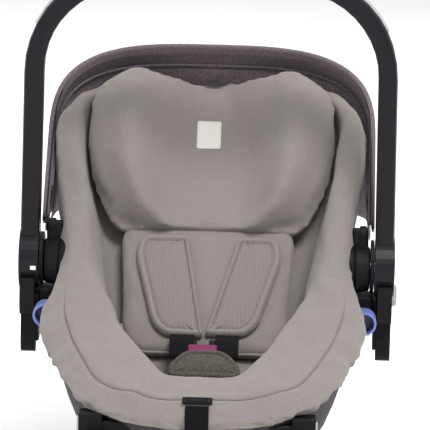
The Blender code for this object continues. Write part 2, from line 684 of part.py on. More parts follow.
def make_harness():
    insert = rounded([(-98, 162), (98, 162), (93, 30), (84, 5), (-84, 5), (-93, 30)], 24)
    cushion = on_back("insert_cushion", outline_mesh(insert, 20, "insert"), M_TAUPE, back(0, 0, -13))
    bevel(cushion, 5, 2)
    for side, name in ((-1, "left"), (1, "right")):
        points = rounded([(side * x, s) for x, s in PAD_OUTLINE], 12)
        pad = on_back(f"shoulder_pad_{name}", outline_mesh(points, 11, "pad"), M_TAUPE, back(0, 0, 6))
        bevel(pad, 3)
        strap = ribbon([back(0, 17, 8.5), back(0, 11, 12.5), back(0, 5, 18)], STRAP_WIDE, STRAP_THICK)
        add(f"shoulder_strap_{name}", strap, M_WEB, (side * 24.5, 0, 0))
        upper = ribbon([back(0, 158.5, 4), back(0, 164, 4)], STRAP_WIDE, STRAP_THICK)
        add(f"strap_upper_{name}", upper, M_WEB, (side * 53, 0, 0))
        tongue_at = back(side * 20.5, -0.8, 18.6)
        tongue = on_back(f"buckle_tongue_{name}", box_mesh((27, 9, 7)), M_BLACK, tongue_at, 1.2)
        blade = cutter("blade", box_mesh((11, 20, 2.4)), back(side * 14, -12, 18.6), ON_BACK)
        boolean(tongue, blade, "UNION")
    housing = on_back("buckle_housing", box_mesh((54, 36, 18)), M_BLACK, back(0, -23.6, 17), 3)
    button_slot = box_mesh((34.0, 17.0, 16))
    boolean(housing, cutter("button_slot", button_slot, back(0, -15.6, 29.6), ON_BACK))
    for side in (-1, 1):
        slot = box_mesh((11.8, 24, 3.2))
        boolean(housing, cutter("tongue_slot", slot, back(side * 14, -12, 18.6), ON_BACK))
    on_back("buckle_button", box_mesh((33.2, 16.2, 3.6)), M_PINK, back(0, -15.6, 27.4), 1)
    add("crotch_strap", ribbon([back(0, -42, 14), back(0, -54, 12)], 26, 1.8), M_WEB)
    moon = [(-39, -56), *arc((0, -58), 40, 178, 2, 10), (39, -56)]
    moon = [(x, min(s, -18 - 0.004 * x * x)) for x, s in moon]
    pad = on_back("crotch_pad", outline_mesh(moon, 8, "moon"), M_PAD, back(0, 0, 34))
    bevel(pad, 2)


def ribbon(points, width, thick):
    """A flat strap that runs through points in the YZ plane, as one closed mesh."""
    points = [np.array(p[1:], float) for p in points]
    tangents = np.gradient(np.array(points), axis=0)
    bm = bmesh.new()
    rows = []
    for p, t in zip(points, tangents):
        t = t / np.linalg.norm(t)
        n = np.array([-t[1], t[0]]) * thick / 2
        ring = [(-width / 2, *(p - n)), (width / 2, *(p - n)), (width / 2, *(p + n)), (-width / 2, *(p + n))]
        rows.append([bm.verts.new(v) for v in ring])
    for a, b in zip(rows, rows[1:]):
        for i in range(4):
            j = (i + 1) % 4
            bm.faces.new((a[i], a[j], b[j], b[i]))
    bm.faces.new(rows[0])
    bm.faces.new(rows[-1][::-1])
    return mesh_of(bm, "ribbon")


def make_adjuster():
    tilt = (math.radians(37), 0, 0)
    bezel_at = (0, -291.5, -94.2)
    bezel = add("adjuster_bezel", box_mesh((33, 9, 4)), M_BLACK, bezel_at, tilt)
    bevel(bezel, 1.2)
    boolean(bezel, cutter("tab_slot", box_mesh((21, 5.4, 8)), bezel_at, tilt))
    tab = add("adjuster_tab", box_mesh((20.2, 4.6, 3)), M_BLACK, (0, -292.1, -93.4), tilt)
    bevel(tab, 0.8)
    route = [(0, -297, -99), (0, -300.5, -104.5), (0, -304.6, -113), (0, -306, -124), (0, -307.2, -142)]
    route += [(0, -307.4, -170), (0, -307, -212)]
    add("adjuster_strap", ribbon(route, 26, 1.8), M_WEB)
    pull = add("adjuster_pull", box_mesh((28, 5, 16)), M_WEB, (0, -307, -220.6))
    bevel(pull, 1.5)


make_bucket()
make_base()
make_handle()
make_posts()
make_belt_guides()
make_canopy()
make_headrest()
make_harness()
make_adjuster()
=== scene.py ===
"""Infant car seat: fabric, padding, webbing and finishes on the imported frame."""

import math

import bmesh
import bpy
import numpy as np
from mathutils import Matrix, Vector, noise
from mathutils.bvhtree import BVHTree


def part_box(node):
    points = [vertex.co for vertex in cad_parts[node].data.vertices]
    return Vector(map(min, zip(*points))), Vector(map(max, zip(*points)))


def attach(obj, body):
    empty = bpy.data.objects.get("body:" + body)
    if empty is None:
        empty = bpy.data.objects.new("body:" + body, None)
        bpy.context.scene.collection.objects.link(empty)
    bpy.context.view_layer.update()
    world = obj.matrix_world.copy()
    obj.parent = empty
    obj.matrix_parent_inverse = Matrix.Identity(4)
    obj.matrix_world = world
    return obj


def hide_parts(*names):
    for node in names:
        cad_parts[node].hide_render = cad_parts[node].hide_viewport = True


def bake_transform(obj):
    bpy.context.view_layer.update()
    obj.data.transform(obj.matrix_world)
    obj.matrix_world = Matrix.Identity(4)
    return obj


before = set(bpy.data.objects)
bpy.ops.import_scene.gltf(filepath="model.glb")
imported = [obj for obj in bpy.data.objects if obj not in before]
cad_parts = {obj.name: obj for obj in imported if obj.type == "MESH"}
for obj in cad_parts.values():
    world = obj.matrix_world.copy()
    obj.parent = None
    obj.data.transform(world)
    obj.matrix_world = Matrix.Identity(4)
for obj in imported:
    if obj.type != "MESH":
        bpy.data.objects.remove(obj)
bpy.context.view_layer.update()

MM = 0.001
PIN_LOW, PIN_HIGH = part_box("handle_pivot_pin_left")
HUB = np.array([0.0, (PIN_LOW.y + PIN_HIGH.y) / 2, (PIN_LOW.z + PIN_HIGH.z) / 2])

# The back: distances along it (s), forward off it (n) and across it (x), millimetres from the hub
BACK_ANGLE = math.radians(44.0)
BACK_ORIGIN = (-90.0, -87.5)
BACK_ALONG = np.array([0, math.cos(BACK_ANGLE), math.sin(BACK_ANGLE)])
BACK_OFF = np.array([0, -math.sin(BACK_ANGLE), math.cos(BACK_ANGLE)])

# Canopy: two bows on one axis, the front one open to BOW_ANGLE and the next BOW_SPLIT behind it
PIVOT = np.array([0.0, 5.0, 38.0])
BOW_ANGLE, BOW_SPLIT = 44.4, 16.5
SIDE_BULGE = 1.017  # the cloth stands outside the bows at the sides
# A bow's straight legs run up to its shoulder, and a superellipse arches over from there
BOW_HALF, BOW_RISE, BOW_SHOULDER, BOW_POWER = 191.5, 149.0, 120.0, 3.25
CANOPY_FOOT, LINING_FOOT = 13, 60  # how far from the axis the cloth and its lining start
CLOTH_THICK, CLOTH_WRINKLE, CLOTH_WIDTH = 0.9 * MM, 1.2, 0.72
FLIP = np.array([-1, 1, 1])  # across the seat
SIDES = ((-1, "left"), (1, "right"))


# ---------------------------------------------------------------- camera, light and stage
def linked(name, data):
    """A new object in the scene."""
    ob = bpy.data.objects.new(name, data)
    bpy.context.scene.collection.objects.link(ob)
    return ob


def aim_camera():
    """A long lens from in front of the seat, a little above it, held slightly off level."""
    distance, field, sensor = 4000.0, 503.0, 36.0
    rightwards, upwards = 8.1, 55.2  # from the middle of the hubs to what it looks at
    azimuth, elevation, roll = (math.radians(a) for a in (1.3, 11.0, 1.3))
    level = math.cos(elevation)
    back = Vector((math.sin(azimuth) * level, -math.cos(azimuth) * level, math.sin(elevation)))
    right = Vector((math.cos(azimuth), math.sin(azimuth), 0))
    up = back.cross(right)
    target = Vector(HUB) + (right * rightwards + up * upwards) * MM
    data = bpy.data.cameras.new("camera")
    data.sensor_width = sensor
    data.lens = sensor * distance / field
    data.clip_end = 100
    camera = linked("camera", data)
    turn = Matrix((right, up, back)).transposed().to_4x4()
    place = Matrix.Translation(target + back * distance * MM)
    camera.matrix_world = place @ turn @ Matrix.Rotation(roll, 4, "Z")
    bpy.context.scene.camera = camera


LIT_POINT = Vector((0, 0.05, 0.3))


def area_light(name, at, size, power):
    """A soft box at a place in metres, turned to the middle of the seat."""
    data = bpy.data.lights.new(name, "AREA")
    data.shape = "RECTANGLE"
    data.size, data.size_y = size
    data.energy = power
    light = linked(name, data)
    light.location = at
    light.rotation_euler = (LIT_POINT - Vector(at)).to_track_quat("-Z", "Y").to_euler()


def make_stage():
    """A white studio: even light all round, a key from the right, a fill, a light behind, and a floor."""
    world = bpy.data.worlds.new("studio")
    bpy.context.scene.world = world
    world.use_nodes = True
    background = world.node_tree.nodes["Background"]
    background.inputs["Color"].default_value = (1, 0.995, 0.985, 1)
    background.inputs["Strength"].default_value = 0.80
    area_light("key", (0.9, -1.7, 3.3), (1.3, 1.3), 112)
    area_light("fill", (-2.6, -1.8, 1.6), (2.0, 2.0), 12)
    area_light("back", (0, 2.6, 2.6), (3.0, 1.5), 60)
    ends = (-30, 30)
    corners = np.array([[(x, y, 0.0) for x in ends] for y in ends])
    floor = object_of("floor", *grid_faces(corners), ["pale_floor"])
    bpy.context.scene.view_settings.view_transform = "Standard"


# ---------------------------------------------------------------- node materials
class Nodes:
    """A short way to write a node tree: n(kind, {socket: value or link}) returns the new node."""

    def __init__(self, name, colour, roughness, **sockets):
        self.colour = colour
        self.mat = bpy.data.materials.new(name)
        self.mat.use_nodes = True
        self.tree = self.mat.node_tree
        self.bsdf = self.tree.nodes["Principled BSDF"]
        self.set(self.bsdf, {"Base Color": (*colour, 1), "Roughness": roughness, **sockets})
        self.mat.diffuse_color = (*colour, 1)
        self.coords = self.tree.nodes.new("ShaderNodeTexCoord")

    def set(self, node, inputs):
        for key, value in inputs.items():
            socket = node.inputs[key]
            if isinstance(value, bpy.types.NodeSocket):
                self.tree.links.new(value, socket)
            else:
                socket.default_value = value

    def __call__(self, kind, inputs=None, **props):
        node = self.tree.nodes.new("ShaderNode" + kind)
        for key, value in props.items():
            setattr(node, key, value)
        self.set(node, inputs or {})
        return node

    def place(self, uv=False, scale=(1, 1, 1), turn=(0, 0, 0)):
        source = self.coords.outputs["UV" if uv else "Object"]
        return self("Mapping", {"Vector": source, "Scale": scale, "Rotation": turn}).outputs["Vector"]

    def noise(self, scale, vector=None, detail=2.0, rough=0.5):
        vector = vector or self.coords.outputs["Object"]
        inputs = {"Vector": vector, "Scale": scale, "Detail": detail, "Roughness": rough}
        return self("TexNoise", inputs).outputs["Fac"]

    def cells(self, scale, vector=None, randomness=1.0):
        inputs = {"Vector": vector or self.place(), "Scale": scale, "Randomness": randomness}
        return self("TexVoronoi", inputs).outputs["Distance"]

    def wave(self, vector, scale, direction="X", distortion=0.0):
        inputs = {"Vector": vector, "Scale": scale, "Distortion": distortion}
        return self("TexWave", inputs, bands_direction=direction).outputs["Fac"]

    def spread(self, value, low, high):
        """Noise from 0 to 1 spread over low to high."""
        return self("MapRange", {"Value": value, "To Min": low, "To Max": high}).outputs["Result"]

    def ramp(self, fac, stops):
        node = self("ValToRGB", {"Fac": fac})
        ramp = node.color_ramp
        while len(ramp.elements) < len(stops):
            ramp.elements.new(0.5)
        for element, (at, colour) in zip(ramp.elements, stops):
            element.position = at
            element.color = (*colour, 1) if hasattr(colour, "__len__") else (colour, colour, colour, 1)
        return node.outputs["Color"]

    def tones(self, fac, stops):
        """A ramp over shades of the material's own colour."""
        return self.ramp(fac, [(at, shade(self.colour, factor)) for at, factor in stops])

    def maths(self, operation, a, b=0.0):
        return self("Math", {0: a, 1: b}, operation=operation).outputs[0]

    def mix(self, fac, a, b):
        return self("MixRGB", {"Fac": fac, "Color1": a, "Color2": b}).outputs["Color"]

    def tint(self, fac, share, tone, factor):
        """The tone moved towards a shade of the material's colour by a share of fac."""
        return self.mix(self.maths("MULTIPLY", fac, share), tone, (*shade(self.colour, factor), 1))

    def done(self, colour, *bumps, **sockets):
        """The material, with bumps (height, strength, distance) laid one over another."""
        for height, strength, distance in bumps:
            inputs = {"Height": height, "Strength": strength, "Distance": distance}
            if "Normal" in sockets:
                inputs["Normal"] = sockets["Normal"]
            sockets["Normal"] = self("Bump", inputs).outputs["Normal"]
        self.set(self.bsdf, {"Base Color": colour, **sockets})
        return self.mat


def shade(colour, factor):
    """The colour made lighter or darker."""
    return tuple(min(c * factor, 1.0) for c in colour)


def jersey(name, colour):
    """A brushed knit: fine stitches, soft heathered colour and a light nap."""
    nap = {"Sheen Weight": 0.18, "Sheen Roughness": 0.55, "Specular IOR Level": 0.2}
    n = Nodes(name, colour, 0.95, **nap)
    stitches = n.cells(1150.0, n.place(scale=(1, 1, 0.62)), 0.55)
    fuzz = n.noise(3200)
    heather = n.noise(620, n.place(scale=(1, 1, 2.6)), 3, 0.7)
    broad = n.ramp(n.noise(14, detail=3), [(0.35, 0.0), (0.7, 1.0)])
    mottle = n.noise(330, n.place(scale=(1, 1, 1.8)), 4, 0.8)
    tone = n.tones(heather, [(0.3, 0.84), (0.52, 1), (0.72, 1.15)])
    tone = n.tint(broad, 0.35, tone, 1.06)
    tone = n.tint(stitches, 0.28, tone, 0.82)
    tone = n.mix(n.ramp(mottle, [(0.42, 0.0), (0.66, 0.55)]), tone, (*shade(colour, 0.72), 1))
    lumps = n.ramp(mottle, [(0.3, 0.0), (0.7, 1.0)])
    return n.done(tone, (lumps, 0.22, 0.0012), (stitches, 0.32, 0.0006), (fuzz, 0.16, 0.0003))


def hex_mesh(name, colour):
    """Knitted mesh with a honeycomb of small holes, laid out in UV millimetres."""
    n = Nodes(name, colour, 0.92, **{"Sheen Weight": 0.12, "Specular IOR Level": 0.2})
    total = 0.0
    for turn in (0, 60, 120):
        vector = n.place(uv=True, turn=(0, 0, math.radians(turn)))
        total = n.maths("ADD", total, n.wave(vector, 0.105))
    web = n("MapRange", {"Value": total, "From Min": 0.75, "From Max": 2.2}).outputs["Result"]
    fine = n.noise(2600)
    tone = n.tint(fine, 0.2, n.tones(web, [(0.0, 0.60), (0.42, 0.86), (0.8, 1)]), 0.75)
    return n.done(tone, (web, 0.55, 0.0009), (fine, 0.2, 0.0003))


def melange(name, colour):
    """A heathered woven cloth: light and dark yarns at random over a plain weave."""
    n = Nodes(name, colour, 0.93, **{"Sheen Weight": 0.12, "Specular IOR Level": 0.25})
    yarn = n.noise(900, n.place(scale=(0.55, 1, 1)), 3, 0.75)
    weave = n.cells(1400.0, randomness=0.35)
    tone = n.tones(yarn, [(0.36, 0.40), (0.5, 1), (0.66, 2.1)])
    tone = n.tint(n.noise(9), 0.2, tone, 0.8)
    tone = n.tint(weave, 0.3, tone, 0.6)
    return n.done(tone, (weave, 0.45, 0.0006), (yarn, 0.2, 0.0004))


def webbing(name, colour):
    """Woven belt webbing. U runs 0 to 1 across it and V along it in strap widths."""
    n = Nodes(name, colour, 0.7, **{"Sheen Weight": 0.01, "Specular IOR Level": 0.08})
    ribs = n.wave(n.place(uv=True, scale=(0, 1, 1)), 5.2, "Y")
    chevron = n.wave(n.place(uv=True, scale=(1, 0.55, 1), turn=(0, 0, math.radians(32))), 3.4)
    weave = n.maths("ADD", n.maths("MULTIPLY", ribs, 0.65), n.maths("MULTIPLY", chevron, 0.5))
    tone = n.tones(weave, [(0.1, 0.55), (0.6, 1), (1.0, 1.5)])
    return n.done(tone, (weave, 0.7, 0.0007), (n.noise(2400), 0.2, 0.0003))


def plastic(name, colour, roughness, grain, specular=0.5, grain_scale=1500.0):
    """Moulded plastic: fine spark-eroded grain, uneven gloss and lighter sharp edges."""
    n = Nodes(name, colour, roughness, **{"Specular IOR Level": specular})
    fine = n.noise(grain_scale)
    broad = n.noise(22, detail=4)
    edge = n.ramp(n("NewGeometry").outputs["Pointiness"], [(0.5, 0.0), (0.62, 1.0)])
    tone = n.tint(broad, 0.3, (*colour, 1), 1.5)
    tone = n.tint(edge, 0.4, tone, 2.4)
    gloss = n.spread(broad, roughness - 0.07, roughness + 0.09)
    return n.done(tone, (fine, grain, 0.0004), Roughness=gloss)


def label_weave(name, colour):
    """A plain satin-woven label, pale with a fine diagonal twill."""
    n = Nodes(name, colour, 0.7, **{"Sheen Weight": 0.1})
    twill = n.wave(n.place(turn=(0, math.radians(45), 0)), 420.0, distortion=0.6)
    slub = n.noise(420, n.place(scale=(0.3, 1, 1)), 3)
    tone = n.tint(slub, 0.25, n.tones(twill, [(0.0, 0.86), (0.6, 1), (1.0, 1.08)]), 0.8)
    return n.done(tone, (twill, 0.4, 0.0003))


def brushed_steel(name):
    """Turned steel with fine lines drawn across it."""
    n = Nodes(name, (0.62, 0.62, 0.63), 0.3, Metallic=1.0)
    lines = n.noise(260, n.place(scale=(0.08, 1, 1)), 4, 0.7)
    tone = n.ramp(lines, [(0.3, 0.5), (0.7, 0.68)])
    return n.done(tone, (lines, 0.15, 0.0003), Roughness=n.spread(lines, 0.2, 0.42))


def foam(name):
    """Dark expanded foam, in small closed beads."""
    n = Nodes(name, (0.11, 0.10, 0.10), 0.9)
    beads = n.cells(260.0)
    tone = n.ramp(beads, [(0.0, 0.13), (0.75, 0.105), (1.0, 0.07)])
    return n.done(tone, (beads, 0.5, 0.001))


def pale_floor(name):
    """A matt, nearly white floor, not quite even."""
    n = Nodes(name, (0.96, 0.96, 0.955), 0.8)
    return n.done(n.ramp(n.noise(3, detail=3), [(0.3, 0.955), (0.7, 0.97)]))


TAUPE = (0.224, 0.200, 0.190)
M = {
    name: maker(name, *look)
    for maker, name, *look in (
        (pale_floor, "pale_floor"),
        (jersey, "taupe_jersey", TAUPE),
        (hex_mesh, "taupe_mesh", shade(TAUPE, 1.02)),
        (melange, "mauve_melange", (0.138, 0.110, 0.126)),
        # the melange lightened for the linings: painted light on the shaded inside of the canopy
        (melange, "lining_melange", (0.265, 0.215, 0.240)),
        (melange, "olive_pad", (0.078, 0.068, 0.057)),
        (webbing, "black_webbing", (0.0046, 0.0036, 0.0050)),
        (label_weave, "woven_label", (0.66, 0.65, 0.61)),
        (jersey, "thread", shade(TAUPE, 1.18)),
        (plastic, "shell_plastic", (0.040, 0.032, 0.037), 0.68, 0.2, 0.14, 1100),
        (foam, "foam"),
        (plastic, "black_plastic", (0.0042, 0.0038, 0.0046), 0.55, 0.18, 0.14),
        (plastic, "satin_black", (0.0060, 0.0048, 0.0072), 0.38, 0.05, 0.2),
        # grey of the handle grip and knob, also used as a painted highlight on the rails' outer edges
        (plastic, "grey_trim", (0.24, 0.24, 0.25), 0.5, 0.1),
        (plastic, "silver_mark", (0.62, 0.62, 0.63), 0.4, 0.05),
        (plastic, "belt_blue", (0.105, 0.130, 0.320), 0.3, 0.05),
        # a dark copy of the belt blue: painted shade inside the belt guides
        (plastic, "belt_navy", (0.020, 0.026, 0.090), 0.4, 0.05),
        (plastic, "button_magenta", (0.105, 0.006, 0.045), 0.45, 0.05, 0.25),
        (brushed_steel, "bow_steel"),
        (plastic, "foot_rubber", (0.02, 0.02, 0.021), 0.85, 0.4, 0.5, 700.0),
    )
}


# ---------------------------------------------------------------- mesh helpers
def placed(points):
    """Hub millimetres to metres in the row frame."""
    return np.asarray(points, float) * MM + HUB


def back(x, s, n):
    """A point in hub millimetres from a place on the back of the seat."""
    point = np.array([x, *BACK_ORIGIN], float)
    return point + BACK_ALONG * s + BACK_OFF * n


def object_of(name, verts, faces, mats, smooth=True, weld=0.0, face_mats=None, uvs=None):
    """A mesh object from points in metres, with its faces turned outwards; mats are names in M."""
    mesh = bpy.data.meshes.new(name)
    mesh.from_pydata([tuple(v) for v in verts], [], [tuple(f) for f in faces])
    for mat in mats:
        mesh.materials.append(M[mat])
    if face_mats is not None:
        mesh.polygons.foreach_set("material_index", np.asarray(face_mats, np.int32))
    if uvs is not None:
        layer = mesh.uv_layers.new(name="weave")
        index = np.zeros(len(mesh.loops), np.int32)
        mesh.loops.foreach_get("vertex_index", index)
        layer.data.foreach_set("uv", np.asarray(uvs, np.float32)[index].ravel())
    bm = bmesh.new()
    bm.from_mesh(mesh)
    if weld:
        bmesh.ops.remove_doubles(bm, verts=bm.verts, dist=weld)
        bmesh.ops.dissolve_degenerate(bm, edges=bm.edges, dist=weld / 4)
    bmesh.ops.recalc_face_normals(bm, faces=bm.faces)
    bm.to_mesh(mesh)
    bm.free()
    if smooth:
        mesh.shade_smooth()
    return linked(name, mesh)


def grid_faces(grid, cyclic=False, start=0):
    """Points and quads of a grid (rows, columns, xyz); cyclic joins its last column to its first."""
    rows, cols = grid.shape[:2]
    faces = []
    for r in range(rows - 1):
        for c in range(cols if cyclic else cols - 1):
            d = (c + 1) % cols
            here, above = start + r * cols, start + (r + 1) * cols
            faces.append((here + c, here + d, above + d, above + c))
    return grid.reshape(-1, 3), faces


def lofted(name, grid, mat, weld=0.0, capped=False, uvs=None):
    """A skin round rows of points in hub millimetres, with a face over each end if it is capped."""
    verts, faces = grid_faces(placed(grid), cyclic=True)
    if capped:
        sides, count = grid.shape[1], len(verts)
        faces += [tuple(range(sides)), tuple(range(count - sides, count))[::-1]]
    return object_of(name, verts, faces, [mat], weld=weld, uvs=uvs)


def unit(vectors):
    """The vectors made one long."""
    return vectors / np.maximum(np.linalg.norm(vectors, axis=-1, keepdims=True), 1e-12)


def grid_normals(grid, cyclic=False):
    """A unit normal at each point of a grid."""
    if cyclic:
        wide = np.concatenate([grid[:, -1:], grid, grid[:, :1]], axis=1)
        along = wide[:, 2:] - wide[:, :-2]
    else:
        along = np.gradient(grid, axis=1)
    return unit(np.cross(np.gradient(grid, axis=0), along))


def slab(name, grid, thick, mat, flip=False):
    """A closed sheet of even thickness under an open grid given in metres."""
    n = grid_normals(grid) * (-1 if flip else 1)
    rows, cols = grid.shape[:2]
    count = rows * cols
    verts, faces = grid_faces(grid)
    under_verts, under_faces = grid_faces(grid - n * thick, start=count)
    faces = faces + [f[::-1] for f in under_faces]
    rim = list(range(cols)) + [r * cols + cols - 1 for r in range(1, rows)]
    rim += [(rows - 1) * cols + c for c in range(cols - 2, -1, -1)]
    rim += [r * cols for r in range(rows - 2, 0, -1)]
    for a, b in zip(rim, rim[1:] + rim[:1]):
        faces.append((a, b, b + count, a + count))
    return object_of(name, np.concatenate([verts, under_verts]), faces, [mat])


def curve_at(points, params):
    """Catmull-Rom along the first axis at float positions; points has a ghost at each end."""
    params = np.asarray(params, float)
    i = np.clip(np.floor(params).astype(int), 0, len(points) - 4)
    t = (params - i).reshape((-1,) + (1,) * (points.ndim - 1))
    p0, p1, p2, p3 = (points[i + k] for k in range(4))
    return 0.5 * (
        2 * p1 + (p2 - p0) * t + (2 * p0 - 5 * p1 + 4 * p2 - p3) * t**2 + (3 * p1 - p0 - 3 * p2 + p3) * t**3
    )


def ghosted(points):
    """Points with one more at each end, straight on from the last two."""
    return np.concatenate([2 * points[:1] - points[1:2], points, 2 * points[-1:] - points[-2:-1]])


def resampled(points, count, closed=False):
    """Points spread evenly along a line."""
    points = np.asarray(points, float)
    if closed:
        points = np.concatenate([points, points[:1]])
    along = np.concatenate([[0], np.cumsum(np.linalg.norm(np.diff(points, axis=0), axis=1))])
    at = np.linspace(0, along[-1], count + (1 if closed else 0))
    out = np.stack([np.interp(at, along, points[:, k]) for k in range(points.shape[1])], axis=1)
    return out[:-1] if closed else out


def rounded(points, radius, steps=8):
    """A closed outline with its corners cut by curves; radius is one length or one per corner."""
    out = []
    radii = np.broadcast_to(radius, len(points))
    most = 0.48  # of a side, so that two corners never meet
    for i in range(len(points)):
        here, prev, after = (np.array(points[k], float) for k in (i, i - 1, (i + 1) % len(points)))
        a, b = prev - here, after - here
        reach = min(radii[i], np.linalg.norm(a) * most, np.linalg.norm(b) * most)
        start, end = here + unit(a) * reach, here + unit(b) * reach
        for j in range(steps + 1):
            t = j / steps
            out.append((1 - t) ** 2 * start + 2 * t * (1 - t) * here + t * t * end)
    return np.array(out)


def wobble(points, scale, seed=0.0, detail=2):
    """Smooth noise from -1 to 1 at each point, with features about scale millimetres wide."""
    out = np.zeros(len(points))
    for i, p in enumerate(points):
        q = Vector(p) / scale + Vector((seed, seed * 0.7, -seed))
        out[i] = noise.noise(q) + (0.5 * noise.noise(q * 2.1) if detail > 1 else 0)
    return out


def bump_at(value, centre, width):
    """1 at the centre, falling smoothly to nothing about two widths away."""
    return np.exp(-(((value - centre) / width) ** 2))


def smoothstep(a, b, value):
    """0 up to a, 1 from b on, and smooth between."""
    t = np.clip((value - a) / (b - a), 0, 1)
    return t * t * (3 - 2 * t)


def tube(name, path, radius, mat, sides=10):
    """A round cord or piping along points in hub millimetres."""
    tangent = unit(np.gradient(path, axis=0))
    side = np.cross(tangent[0], (0.3, 0.5, 0.81))
    turn = np.arange(sides) * 2 * math.pi / sides
    rows = []
    for p, t in zip(path, tangent):
        side = unit(side - t * (side @ t))
        other = np.cross(t, side)
        rows.append([p + radius * (math.cos(a) * side + math.sin(a) * other) for a in turn])
    return lofted(name, np.array(rows), mat, capped=True)


# One stitch: its two ends (0 and 7), and three points across it at each end of its middle
STITCH_FACES = [(0, 1, 2), (0, 2, 3), (1, 4, 5, 2), (2, 5, 6, 3), (4, 7, 5), (5, 7, 6), (0, 3, 1),
                (3, 6, 4, 1), (4, 6, 7)]


def stitching(name, path, mat, length=2.4, gap=1.5, radius=0.42):
    """Separate stitches along a path in hub millimetres, standing off the back of the seat."""
    total = np.linalg.norm(np.diff(path, axis=0), axis=1).sum()
    count = max(2, int(total / (length + gap)))
    fine = resampled(path, count * 2 + 1)
    lift = BACK_OFF * radius
    verts, faces = [], []
    for a, b in zip(fine[:-1:2], fine[1::2]):
        along = b - a
        side = unit(np.cross(along, BACK_OFF)) * radius
        base = len(verts)
        verts.append(a)
        for centre in ((a + b) / 2 - along * 0.22, (a + b) / 2 + along * 0.22):
            verts += [centre + side + lift * 0.2, centre + lift * 1.5, centre - side + lift * 0.2]
        verts.append(b)
        faces += [tuple(base + k for k in face) for face in STITCH_FACES]
    return object_of(name, placed(verts), faces, [mat])


def applied(ob):
    """The object with its modifiers made part of its mesh."""
    bpy.context.view_layer.update()
    graph = bpy.context.evaluated_depsgraph_get()
    mesh = bpy.data.meshes.new_from_object(ob.evaluated_get(graph))
    ob.modifiers.clear()
    ob.data = mesh
    return ob


def coords(ob):
    """The points of an object's mesh, one row each."""
    co = np.zeros(len(ob.data.vertices) * 3)
    ob.data.vertices.foreach_get("co", co)
    return co.reshape(-1, 3)


PUFF_VOXEL, PUFF_FRAMES = 4.5, 20


def puffed(ob, pressure, cap):
    """Cloth under a little air pressure, with each point's travel capped, then smoothed once."""
    remesh = ob.modifiers.new("remesh", "REMESH")
    remesh.mode, remesh.voxel_size = "VOXEL", PUFF_VOXEL * MM
    applied(ob)
    start = coords(ob)
    cloth = ob.modifiers.new("cloth", "CLOTH")
    cloth.settings.use_pressure = True
    cloth.settings.uniform_pressure_force = pressure
    cloth.settings.effector_weights.gravity = 0
    cloth.settings.quality = 4
    scene = bpy.context.scene
    cloth.point_cache.frame_end = PUFF_FRAMES
    for step in range(1, PUFF_FRAMES + 1):
        scene.frame_set(step)
    applied(ob)
    scene.frame_set(1)
    moved = coords(ob) - start
    size = np.linalg.norm(moved, axis=1, keepdims=True)
    limit = cap * MM
    moved *= np.where(size > 0, limit * np.tanh(size / limit) / np.maximum(size, 1e-12), 0)
    ob.data.vertices.foreach_set("co", (start + moved).ravel())
    ob.data.update()
    smooth = ob.modifiers.new("smooth", "SMOOTH")
    smooth.factor, smooth.iterations = 0.5, 4
    finer = ob.modifiers.new("finer", "SUBSURF")
    finer.levels = finer.render_levels = 1
    applied(ob)
    ob.data.shade_smooth()


def dropped(tree, point, direction, lift):
    """A point in hub millimetres moved along a direction onto a surface, then lifted off it."""
    origin, d = Vector(placed(point)), Vector(direction).normalized()
    hit, normal, _, _ = tree.ray_cast(origin - d * 0.2, d, 0.4)
    if normal.dot(d) > 0:
        normal = -normal
    return (np.array(hit) - HUB) / MM + np.array(normal) * lift


# ---------------------------------------------------------------- seat cover
# Rings of the cover from the bottom of the well out to the hem. Each has a point at twelve
# stations, from the middle of the foot end round the right-hand side to the middle of the head end
SPINE = [
    (0, -130, -122), (0, -130, -122), (0, -130, -122), (0, -128, -119),
    (0, -110, -110), (0, -84, -100), (0, -40, -82), (0, 20, -24),
    (0, 85, 40), (0, 140, 94), (0, 176, 130), (0, 176, 130),
]
FLOOR = [
    (0, -178, -121), (36, -175, -121), (60, -166, -120), (80, -146, -116),
    (92, -118, -108), (97, -82, -99), (100, -40, -80), (107, 22, -20),
    (116, 88, 44), (108, 150, 106), (66, 180, 140), (0, 190, 148),
]
WALL = [
    (0, -214, -106), (40, -210, -104), (64, -190, -96), (85, -158, -80),
    (97, -120, -64), (108, -76, -46), (118, -34, -16), (130, 26, 30),
    (144, 84, 84), (141, 140, 138), (90, 181, 166), (0, 198, 164),
]
RIM = [
    (0, -238, -80), (41, -233, -79), (64, -206, -67), (88, -165, -50),
    (107, -120, -31), (126, -74, -8), (136, -30, 24), (143, 24, 76),
    (153, 78, 128), (151, 124, 164), (98, 171, 180), (0, 203, 170),
]
SEAM = [
    (0, -285, -95), (60, -281, -92), (106, -259, -84), (130, -218, -69),
    (150, -160, -50), (160, -105, -27), (156, -50, 4), (165, 8, 60),
    (175, 66, 117), (171, 118, 161), (116, 176, 185), (0, 214, 174),
]
WIDEST = [
    (0, -300, -112), (66, -297, -110), (116, -277, -102), (148, -236, -90),
    (170, -172, -71), (186, -105, -48), (171, -46, -12), (172, 5, 34),
    (181, 64, 96), (180, 116, 146), (127, 181, 181), (0, 222, 169),
]
HEM = [
    (0, -301, -124), (66, -298, -120), (110, -280, -112), (138, -243, -104),
    (159, -185, -90), (177, -112, -73), (171, -56, -32), (171, 2, 24),
    (181, 70, 82), (179, 124, 137), (128, 186, 176), (0, 225, 167),
]
SEAM_RING, HEM_RING = 4, 6
LAST_STATION, STATION_STEPS, RING_STEPS = 11, 12, 10


def cover_rows():
    """Ring positions of the cover's rows, closer together at the seam and the hem."""
    fine = [SEAM_RING + d for d in (-0.05, -0.03, -0.015, 0, 0.015, 0.03, 0.05)]
    fine += [HEM_RING - d for d in (0.03, 0.06, 0.09)]
    rows = np.concatenate([np.linspace(0, HEM_RING, HEM_RING * RING_STEPS + 1), fine])
    return np.unique(np.round(rows, 4))


